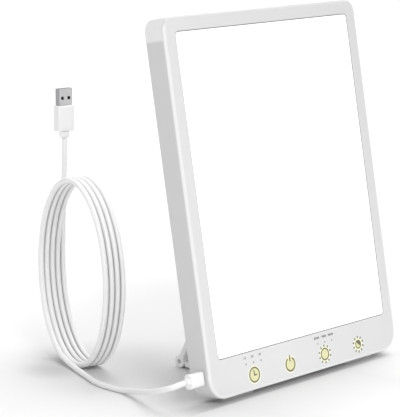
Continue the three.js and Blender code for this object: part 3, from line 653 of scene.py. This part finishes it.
# Painted shade: the front's colour grows greyer towards the upper right.
fall = 0.35 + 4.5 * across + 2.2 * (height - middle_height) + 0.2 * (shell_cloud - 0.5)
front_painted_shade = shell_finish.mix(fall, 0.745, 0.665)
# A painted highlight on the left wall's upper corner.
corner_painted_highlight = (
    shell_finish.ease(height, 0.24, 0.2425, 0.0, 1.0)
    * shell_finish.ease(across, -0.0995, -0.094, 1.0, 0.0))
shell_sides = shell_finish.mix(corner_painted_highlight, shell_finish.mix(shell_cloud, 0.67, 0.70), 0.89)
shell_painted_light = shell_finish.mix(depth < 0.0019, shell_sides, front_painted_shade)
# A painted highlight on the rolled front edge, left out along the top.
top_edge = shell_finish.ease(height, 0.2485, 0.2545, 1.0, 0.0)
rolled_edge_highlight = shell_finish.mix(top_edge, 0.66, 0.87)
shell_painted_light = shell_finish.mix(roll * (depth < 0.0014), shell_painted_light, rolled_edge_highlight)
# Painted shade on the window's cut edge.
in_window = (across.size() < 0.0892) * (height > 0.0262) * (height < 0.2467) * (depth > 0.0002)
shell_tint = shell_finish.mix(in_window, shell_painted_light, 0.58)
shell_white = shell_finish.surface(
    Base_Color=shell_finish.mix(glow * 0.5, shell_tint, (0.85, 0.84, 0.6)),
    Roughness=0.32 + 0.1 * (shell_grain - 0.5) + 0.05 * (shell_cloud - 0.5),
    Normal=shell_finish.bump(shell_grain, 0.3, 0.00002),
    Emission_Color=shell_finish.mix(glow, 0.0, (0.12, 0.12, 0.05)),
    Emission_Strength=1.0,
)
shell = put("front_shell_dressed", sharpen(shell_mesh), shell_white)
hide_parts("front_shell")


# The lit screen: an opal acrylic diffuser that stands in the window a hair below the bezel, with a lip
# behind the bezel. The light guide behind it makes it an even bright white.
screen_finish = Finish("opal diffuser, lit")
screen_cloud = screen_finish.noise(9.0, 2.0)
screen_face = into_panel(screen_finish) < face_depth
screen_tint = screen_finish.mix(screen_face, 0.42, screen_finish.mix(screen_cloud, 0.52, 0.56))
screen_glow = screen_finish.mix(screen_cloud, (0.6, 0.6, 0.597), 0.62)
screen_lit = screen_finish.surface(
    Base_Color=screen_tint,
    Roughness=0.5,
    Emission_Color=screen_finish.mix(screen_face, 0.0, screen_glow),
    Emission_Strength=1.0,
)
screen_rings = [
    at_depth(window_edge(grow), y)
    for grow, y in ((1.5, 3.3), (1.5, 2.1), (-0.45, 2.1), (-0.45, 0.5), (-0.5, 0.35), (-0.65, 0.3))
]
screen_mesh = sharpen(skin("diffuser_screen_dressed", screen_rings, lean))
screen = put("diffuser_screen_dressed", screen_mesh, screen_lit)
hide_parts("diffuser_screen")


# The four touch icons: flush translucent lenses in the chin, lit warm from behind, with dark olive line
# signs printed on them: a clock, a power sign, a sun for brightness and a half-dark sun for the colour of
# the light.
def clouded(name, scale, detail, dark, pale, roughness, light=None):
    """A small part whose colour clouds a little from dark to pale, and its light from one tone to another."""
    finish = Finish(name)
    cloud = finish.noise(scale, detail)
    lit = {"Emission_Color": finish.mix(cloud, *light), "Emission_Strength": 1.0} if light else {}
    return finish.surface(Base_Color=finish.mix(cloud, dark, pale), Roughness=roughness, **lit)


lens_lit = clouded(
    "icon lens, warm light", 260.0, 2.0, (0.49, 0.48, 0.24), (0.55, 0.53, 0.27), 0.45,
    light=((0.22, 0.215, 0.18), (0.28, 0.265, 0.22)))
for name, (x, radius, _) in icons.items():
    dome = round_rings(
        [(radius, 2.1), (radius, 0.08), (radius - 0.1, 0.02), (radius - 1.0, 0.0)], x, icon_height, 48)
    lens = put(f"{name}_lens_dressed", sharpen(skin("lens", dome, lean)), lens_lit)
    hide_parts(f"{name}_icon_lens")

# A print is 0.08 mm thick and sinks into the face, here in millimetres of depth behind it.
olive = clouded("olive print", 900.0, 3.0, (0.13, 0.125, 0.065), (0.19, 0.18, 0.1), 0.55)
print_low, print_high = -0.03, 0.05


def arc(mesh, x, inner, outer, start, stop, steps=48):
    """A printed arc as a thin raised band; angles in degrees from the top, clockwise."""
    count = max(2, round(steps * (stop - start) / 360))
    section = ((inner, print_low), (outer, print_low), (outer, print_high), (inner, print_high))
    loops = []
    for i in range(count + 1):
        a = math.radians(start + (stop - start) * i / count)
        loops.append([
            mesh.verts.new((x + r * math.sin(a), y, icon_height + r * math.cos(a))) for r, y in section])
    for low, high in zip(loops, loops[1:]):
        belt(mesh, low, high)
    mesh.faces.new(loops[0])
    mesh.faces.new(loops[-1])


def stroke(mesh, x, start, end, width):
    """A printed straight line with square ends, between two places from the icon's middle."""
    (x0, z0), (x1, z1) = [(x + across, icon_height + up) for across, up in (start, end)]
    side = Vector((z0 - z1, x1 - x0)).normalized() * width / 2
    outline = [
        (x0 + side.x, z0 + side.y), (x0 - side.x, z0 - side.y),
        (x1 - side.x, z1 - side.y), (x1 + side.x, z1 + side.y),
    ]
    low, high = [[mesh.verts.new((x, y, z)) for x, z in outline] for y in (print_low, print_high)]
    belt(mesh, low, high)
    mesh.faces.new(low)
    mesh.faces.new(high)


for name, arcs, strokes in (
    ("timer", [(4.4, 5.4, 0, 360)], [((-0.2, -0.2), (-0.2, 3.3), 0.95), ((-0.6, -0.2), (2.4, -0.2), 0.95)]),
    ("power", [(4.05, 5.2, 30, 330)], [((0, 2.0), (0, 6.3), 1.15)]),
    ("brightness", [(3.5, 4.45, 0, 360)], []),
    ("colour", [(2.35, 3.15, 0, 360), (0.02, 2.4, -42, 122, 36)], []),
):
    sign_mesh = bmesh.new()
    for sizes in arcs:
        arc(sign_mesh, icons[name][0], *sizes)
    for sizes in strokes:
        stroke(sign_mesh, icons[name][0], *sizes)
    bmesh.ops.recalc_face_normals(sign_mesh, faces=sign_mesh.faces)
    bmesh.ops.transform(sign_mesh, matrix=lean @ Matrix.Scale(0.001, 4), verts=sign_mesh.verts)
    sign = put(f"{name}_sign", plain(f"{name}_sign", sign_mesh), olive)


# The rays of the two suns: ten short printed dashes in a ring, half a step off the top.
# A node tree repeats one dash round the ring.
def node_tree(name, **inputs):
    """An empty geometry tree, and its named inputs."""
    group = bpy.data.node_groups.new(name, "GeometryNodeTree")
    group.interface.new_socket("Geometry", in_out="OUTPUT", socket_type="NodeSocketGeometry")
    for label, kind in inputs.items():
        group.interface.new_socket(label, in_out="INPUT", socket_type=f"NodeSocket{kind}")
    nodes = Nodes(group)
    return nodes, {label: nodes.node("NodeGroupInput", out=label) for label in inputs}


def finish_tree(nodes, copies, material):
    """Ends a tree in Realize Instances and Set Material."""
    real = nodes.node("GeometryNodeRealizeInstances", {}, {"Geometry": copies})
    painted = nodes.node("GeometryNodeSetMaterial", {}, {"Geometry": real, "Material": material})
    nodes.node("NodeGroupOutput", {}, {"Geometry": painted})


def grown(name, tree, place, **values):
    """The plain mesh that a tree makes from these values, taken to its place."""
    holder = in_scene(name, bpy.data.meshes.new(name))
    step = holder.modifiers.new(name, "NODES")
    step.node_group = tree
    for item in tree.interface.items_tree:
        if item.in_out == "INPUT" and item.name in values:
            step[item.identifier] = values[item.name]
    made = evaluated(holder)
    bpy.data.objects.remove(holder)
    made.name = name
    made.transform(place)
    return made


def on_chin(x, height):
    """Takes what is drawn flat, in metres, to a place on the panel's front."""
    return (
        lean
        @ Matrix.Translation((x / 1000, 0.00001, height / 1000))
        @ Matrix.Rotation(math.radians(90), 4, "X")
    )


ray_nodes, given = node_tree(
    "ring of rays", Count="Int", Ring_Radius="Float", Ray_Size="Vector", Material="Material")
ray_circle = ray_nodes.node(
    "GeometryNodeMeshCircle", {}, {"Vertices": given["Count"], "Radius": given["Ring_Radius"]})
ray_shape = ray_nodes.node("GeometryNodeMeshCube", {}, {"Size": given["Ray_Size"]})
ray_place = ray_nodes.node("GeometryNodeInputPosition")
ray_turn = ray_nodes.node("FunctionNodeAlignRotationToVector", {"axis": "Y"}, {"Vector": ray_place})
ray_copies = ray_nodes.node(
    "GeometryNodeInstanceOnPoints", {}, {"Points": ray_circle, "Instance": ray_shape, "Rotation": ray_turn})
finish_tree(ray_nodes, ray_copies, given["Material"])
for name, ring, size in (("brightness", 5.9, (1.2, 1.4, 0.08)), ("colour", 5.2, (1.2, 1.7, 0.08))):
    half_step = Matrix.Rotation(math.radians(18), 4, "Z")
    rays = grown(
        f"{name}_rays", ray_nodes.tree, on_chin(icons[name][0], icon_height) @ half_step,
        Count=10, Ring_Radius=ring / 1000, Ray_Size=Vector(size) / 1000, Material=olive)
    put(f"{name}_rays", rays, olive)


# The six indicator lights: clear acrylic light pipes that end flush in the chin, unlit and greyish.
# They are pressed into their holes from behind.
pipe_grey = clouded("light pipe, unlit", 700.0, 2.0, 0.26, 0.36, 0.35)
for name, x in light_places.items():
    dome = round_rings([(0.65, 7.7), (0.65, 0.08), (0.55, 0.02), (0.3, 0.0)], x, light_height, 20)
    pipe = put(f"{name}_pipe", sharpen(skin("pipe", dome, lean)), pipe_grey)
    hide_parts(name)


# The numbers over the lights: minutes for the timer and the screen's brightness, printed in small grey
# figures. Each row has its height on the chin, the size of its figures, their spacing and how bold they are.
ink = clouded("grey ink", 1200.0, 2.0, 0.12, 0.19, 0.6)
for name, words, height_above, tall, spaced, bold in (
    ("timer", ("10", "20", "30"), 22.3, 0.0023, 1.2, 0.00004),
    ("level", ("3000", "6000", "9000"), 22.2, 0.0021, 1.4, 0.00014),
):
    for i, word in enumerate(words):
        text = bpy.data.curves.new(f"{name}_number_{i + 1}", "FONT")
        text.body = word
        text.size = tall
        text.space_character = spaced
        text.extrude = 0.00004
        text.align_x = "CENTER"
        text.offset = bold
        letters = in_scene("letters", text)
        figures = evaluated(letters)
        bpy.data.objects.remove(letters)
        figures.transform(on_chin(light_places[f"{name}_light_{i + 1}"] - 0.8, height_above))
        put(f"{name}_number_{i + 1}", figures, ink)


# The rear cover: a flat satin plate let into the shell's back, with five countersunk places for its screws
# and two holes for the screws of the hinge brackets.
cover_screws = [(-70.0, 250.9), (0.0, 250.9), (70.0, 250.9), (-84.0, 5.6), (84.0, 5.6)]
bracket_screws = [(-45.2, 10.0), (45.2, 10.0)]
cover_rings = [at_depth(panel_edge(inset), y) for inset, y in ((2.7, 14.6), (2.7, 16.8), (2.9, 17.0))]
cover_cuts = [rod_y(1.25, 14, 18, x, z, 24) for x, z in [*cover_screws, *bracket_screws]]
cover_cuts += [rod_y(2.2, 15.4, 18, x, z, 32) for x, z in cover_screws]
cover_mesh = joined(skin("rear_cover_dressed", cover_rings), cover_cuts)
cover_mesh.transform(lean)
cover_white = moulded("cover plastic, fine texture", 0.8, 0.55, 900.0, 0.00004)
cover = put("rear_cover_dressed", sharpen(cover_mesh), cover_white)
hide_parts("rear_cover")


# The screws: nickel plated pan heads with a cross recess, all alike, in the rear cover and the hinge
# brackets. The board's two screws are hidden inside the panel and keep the CAD's shape.
def cross_head(name):
    """A pan head with a cross recess and a short shank, along +Z with the seat at zero, in metres."""
    head = skin(name, turned(
        [(0.95, -5.0), (0.95, 0.0), (1.9, 0.0), (1.9, 0.45), (1.75, 0.75), (1.4, 0.95), (0.8, 1.0)], 24))
    recess = [brick((-1.1, -0.22, 0.45), (1.1, 0.22, 1.5)), brick((-0.22, -1.1, 0.45), (0.22, 1.1, 1.5))]
    return joined(head, recess)


screw_nodes, given = node_tree("row of screws", Places="Object", Screw="Object", Material="Material")
screw_places, screw_shape = [
    screw_nodes.node("GeometryNodeObjectInfo", {}, {"Object": given[label]}, out="Geometry")
    for label in ("Places", "Screw")
]
screw_copies = screw_nodes.node(
    "GeometryNodeInstanceOnPoints", {}, {"Points": screw_places, "Instance": screw_shape})
finish_tree(screw_nodes, screw_copies, given["Material"])
screw_model = in_scene("screw_model", cross_head("screw_model"))
# The screws' axis becomes depth and their Y becomes height. That turns their faces inside out, so they are
# flipped afterwards.
swap = Matrix(((1, 0, 0, 0), (0, 0, 1, 0), (0, 1, 0, 0), (0, 0, 0, 1)))
for name, seat, places, nodes in (
    ("cover_screws", 15.7, cover_screws, [f"cover_screw_{i + 1}" for i in range(5)]),
    ("bracket_screws", 19.6, bracket_screws, ["bracket_screw_left", "bracket_screw_right"]),
):
    dots_mesh = bpy.data.meshes.new("dots")
    dots_mesh.from_pydata([(x / 1000, z / 1000, 0) for x, z in places], [], [])
    dots = in_scene("dots", dots_mesh)
    screws = grown(
        name, screw_nodes.tree, lean @ Matrix.Translation((0, seat / 1000, 0)) @ swap,
        Places=dots, Screw=screw_model, Material=steel)
    screws.flip_normals()
    bpy.data.objects.remove(dots)
    row = put(name, sharpen(screws), steel)
    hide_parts(*nodes)
bpy.data.objects.remove(screw_model)
paint(steel, "board_screw_1", "board_screw_2")


# The two feet: soft rubber wedges glued under the panel's rear edge, with soles that lie level on the floor.
# The toe of the strut is of the same rubber.
rubber_finish = Finish("soft rubber")
rubber_grain = rubber_finish.noise(1300.0, 4.0)
soft_grey = rubber_finish.surface(
    Base_Color=rubber_finish.mix(rubber_finish.noise(90.0, 2.0), 0.5, (0.58, 0.58, 0.575)),
    Roughness=0.72 + 0.15 * (rubber_grain - 0.5),
    Normal=rubber_finish.bump(rubber_grain, 0.6, 0.00006),
)
paint(soft_grey, "foot_left", "foot_right", "strut_toe")


# The hinge at the panel's lower back: two white brackets, each with a lug round the hinge pin, nylon friction
# washers between the lugs and the base plate's barrel, and a steel pin through them all.
hinge_white = moulded("hinge plastic, satin white", 0.8, 0.45)
nylon_white = moulded("nylon, natural", (0.84, 0.83, 0.8), 0.5, 700.0)
paint(hinge_white, "hinge_bracket_left", "hinge_bracket_right")
paint(nylon_white, "friction_washer_left", "friction_washer_right")
paint(steel, "hinge_pin", "knuckle_pin")


# The stand's base plate: a flat white moulding that lies on the floor behind the panel. A barrel along its
# front turns on the hinge pin, and a barrel along its rear sits between the strut's two knuckles.
hinge_y, hinge_z = -24.064, 4.452
knuckle_y, knuckle_z = 42.059, 4.5
stand_half = 39
pin_reach = 45


def rod_x(radius, x0, x1, y, z, sides=40, edge=0.4):
    """A round rod across the stand with softened ends, in millimetres."""
    stops = [(x0, radius - edge), (x0 + 0.3 * edge, radius - 0.3 * edge), (x0 + edge, radius)]
    stops += [(x1 - (x - x0), r) for x, r in reversed(stops)]
    return skin("rod", [[(x, y + u, z + v) for u, v in circle(r, sides)] for x, r in stops])


def pin_hole(radius, y, z):
    """What the bore for a pin takes out, right across the stand."""
    return rod_x(radius, -pin_reach, pin_reach, y, z, 24, 0.01)


def slab(name, half_x, y0, y1, radius, low, high, edge):
    """A flat plate with rounded corners and rolled edges."""
    outline = rounded(half_x, y0, y1, radius, radius, 0, 6)
    middle = Vector((sum(x for x, y in outline), sum(y for x, y in outline))) / len(outline)
    rings = []
    for z, inset in (
        (low, edge), (low + 0.3 * edge, 0.3 * edge), (low + edge, 0),
        (high - edge, 0), (high - 0.3 * edge, 0.3 * edge), (high, edge),
    ):
        ring = []
        for x, y in outline:
            way = Vector((x, y)) - middle
            pull = min(1.0, inset / max(way.length, 0.001))
            ring.append((x - way.x * pull, y - way.y * pull, z))
        rings.append(ring)
    return skin(name, rings)


plate_mesh = slab("stand_base_dressed", stand_half, hinge_y + 4.6, knuckle_y - 5.1, 1.2, 1.5, 5.2, 0.5)
plate_mesh = joined(plate_mesh, [
    slab("tongue", 34.9, hinge_y, hinge_y + 8, 0.5, 1.6, 5.1, 0.3),
    rod_x(3.0, -35, 35, hinge_y, hinge_z),
    rod_x(4.0, -32.7, 32.7, knuckle_y, knuckle_z),
    slab("ear", 32.7, 30, knuckle_y, 0.4, 1.55, 5.15, 0.3),
], "UNION")
plate_mesh = joined(plate_mesh, [
    pin_hole(1.8, hinge_y, hinge_z),
    pin_hole(1.75, knuckle_y, knuckle_z),
    slab("pocket", 26, -8, 28, 4, 4.6, 6.0, 0.2),
])
# The stand's white is paler than the brackets' and the cover's: painted light against the panel's shadow on
# it.
stand_white = moulded("stand plastic, satin white", 0.93, 0.4)
plate = put("stand_base_dressed", sharpen(plate_mesh), stand_white, "stand_base")
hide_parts("stand_base_plate")


# The strut: a white plate as wide as the base, with a round knuckle at each lower corner. It rises from the
# knuckles and leans on the panel's back with a rubber toe, and has a shallow pocket in its upper face.
# It is drawn flat, with the knuckles' axis at zero, and then turned up to its place.
toe_y, toe_z = -9.127, 102.867
strut_angle = math.atan2(toe_z - knuckle_z, toe_y - knuckle_y)
strut_end = math.hypot(toe_y - knuckle_y, toe_z - knuckle_z) - 0.3
gap_half = 33
strut_mesh = slab("stand_strut_dressed", stand_half, 0.0, strut_end, 4.0, -2.1, 2.1, 0.5)
strut_mesh = joined(strut_mesh, [
    brick((-gap_half, -2.0, -5.0), (gap_half, 5.1, 5.0)),
    brick((-pin_reach, -2, -5), (pin_reach, 4.0, 5)),
])
strut_mesh = joined(strut_mesh, [
    rod_x(4.5, -stand_half, -gap_half, 0, 0),
    rod_x(4.5, gap_half, stand_half, 0, 0),
    brick((-stand_half, 0.5, -2.05), (-gap_half, 4.5, 2.05)),
    brick((gap_half, 0.5, -2.05), (stand_half, 4.5, 2.05)),
], "UNION")
strut_mesh = joined(strut_mesh, [
    pin_hole(1.75, 0, 0),
    slab("pocket", 27, 16, strut_end - 12, 5, 1.5, 3.0, 0.2),
])
strut_mesh.transform(
    Matrix.Translation((0, knuckle_y / 1000, knuckle_z / 1000)) @ Matrix.Rotation(strut_angle, 4, "X"))
strut = put("stand_strut_dressed", sharpen(strut_mesh), stand_white, "stand_strut")
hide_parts("stand_strut")


# What is inside the panel: the clear light guide with its printed dots, the white reflector, the LED
# strips, the board and the foam touch pads. None of it shows, but each has its own finish.
guide_finish = Finish("clear acrylic")
guide_place = guide_finish.node("ShaderNodeTexCoord", out="Object")
guide_dots = guide_finish.node("ShaderNodeTexVoronoi", {}, {"Vector": guide_place, "Scale": 350.0})
guide_clear = guide_finish.surface(
    Base_Color=(0.92, 0.95, 0.96, 1), Roughness=0.08 + 0.3 * (guide_dots < 0.3), Alpha=0.6)
paint(guide_clear, "light_guide_plate")
paint(moulded("reflector film, matt white", (0.92, 0.92, 0.91), 0.7, 500.0), "reflector_sheet")
paint(moulded("LED strip, white mask", (0.85, 0.83, 0.75), 0.5, 600.0), "led_strip_left", "led_strip_right")
paint(moulded("circuit board, green mask", (0.03, 0.15, 0.07), 0.4, 600.0, 0.00003, 0.2), "control_board")
foam_dark = moulded("conductive foam, dark grey", (0.045, 0.045, 0.047), 0.9, 800.0, 0.0001, 0.3)
paint(foam_dark, *[f"{name}_touch_pad" for name in icons])


# The floor: a large matt white sheet. It is seen a little brighter than it lights the lamp, so that it runs
# out into the white background. It keeps the lamp's soft shadow, and painted shadow greys it close to the
# panel, in the narrow strip under its front edge, and under the coil and its rim. Painted light makes it
# paler far behind the panel.
def seen_rays(finish):
    """One where a ray comes from the camera or by way of a glossy or clear surface."""
    seen = 0.0
    for kind in ("Camera", "Glossy", "Transmission"):
        seen += finish.node("ShaderNodeLightPath", out=f"Is {kind} Ray")
    return 1.0 - (1.0 - seen).above_zero()


floor_finish = Finish("floor, matt white")
floor_across = floor_finish.axis("X")
floor_level = floor_finish.axis("Y")


def round_shade(x, y, start, stop):
    """One round a place on the floor, and zero beyond a distance from it."""
    sideways = floor_across - x
    back = floor_level - y
    return floor_finish.ease((sideways * sideways + back * back) ** 0.5, start, stop, 1.0, 0.0)


floor_left = (-0.08 - floor_across).above_zero()
floor_right = (floor_across - 0.04).above_zero()
floor_front = (floor_level + 0.047).size() + 1.3 * floor_left + 1.2 * floor_right
# Painted shadow in the narrow strip of floor under the panel's front edge.
strip_shadow = (
    floor_finish.ease(floor_level, -0.0475, -0.0455, 0.0, 1.0)
    * floor_finish.ease(floor_level, -0.046, -0.03, 1.0, 0.0)
    * floor_finish.ease(floor_across, 0.04, 0.098, 1.0, 0.0)
    * floor_finish.ease(floor_across, -0.128, -0.1, 0.0, 1.0))
# The floor's tone, paler far behind the panel by painted light, with the painted shadows laid over it.
floor_painted_shade = floor_finish.mix(floor_finish.ease(floor_level, 0.15, 0.3, 0.0, 1.0), 0.905, 0.98)
for shade, tone in (
    (floor_finish.ease(floor_front, 0.0, 0.13, 1.0, 0.0), 0.70),
    (round_shade(-0.07, 0.075, 0.015, 0.095), 0.73),
    (round_shade(-0.1, 0.102, 0.0, 0.035), 0.6),
    (strip_shadow, 0.56),
):
    floor_painted_shade = floor_finish.mix(shade, floor_painted_shade, tone)
floor_painted_shade = floor_finish.mix(seen_rays(floor_finish), 0.8, floor_painted_shade)
floor_shader = floor_finish.node("ShaderNodeBsdfDiffuse", {}, {"Color": floor_painted_shade})
floor_finish.node("ShaderNodeOutputMaterial", {}, {"Surface": floor_shader})
floor_mesh = bpy.data.meshes.new("floor")
floor_mesh.from_pydata([(-40, -40, 0), (40, -40, 0), (40, 40, 0), (-40, 40, 0)], [], [(0, 1, 2, 3)])
floor_mesh.materials.append(floor_finish.made)
floor = in_scene("floor", floor_mesh)


# The studio light: a white world for fill and background, a broad high light from the right with a soft
# shadow, a high back light, a front light from the left, and a low narrow one along the chin's left edge.
world = Finish("studio", "worlds")
sky_fill, sky_seen = [
    world.node("ShaderNodeBackground", {}, {"Color": (1, 1, 1, 1), "Strength": strength})
    for strength in (0.5, 1.0)
]
sky = world.node("ShaderNodeMixShader", {}, {0: seen_rays(world), 1: sky_fill, 2: sky_seen})
world.node("ShaderNodeOutputWorld", {}, {"Surface": sky})
bpy.context.scene.world = world.made
for name, energy, spread, way in (
    ("key", 1.3, 55, (-0.36, 0.16, -0.92)),
    ("back", 0.4, 40, (-0.4, -0.35, -0.85)),
    ("front", 0.78, 25, (0.3, 0.7, -0.55)),
    ("edge", 0.28, 15, (0.62, 0.58, -0.12)),
):
    lamp = in_scene(name, bpy.data.lights.new(name, "SUN"))
    lamp.data.energy = energy
    lamp.data.angle = math.radians(spread)
    look_along(lamp, way)
bpy.context.scene.view_settings.view_transform = "Standard"
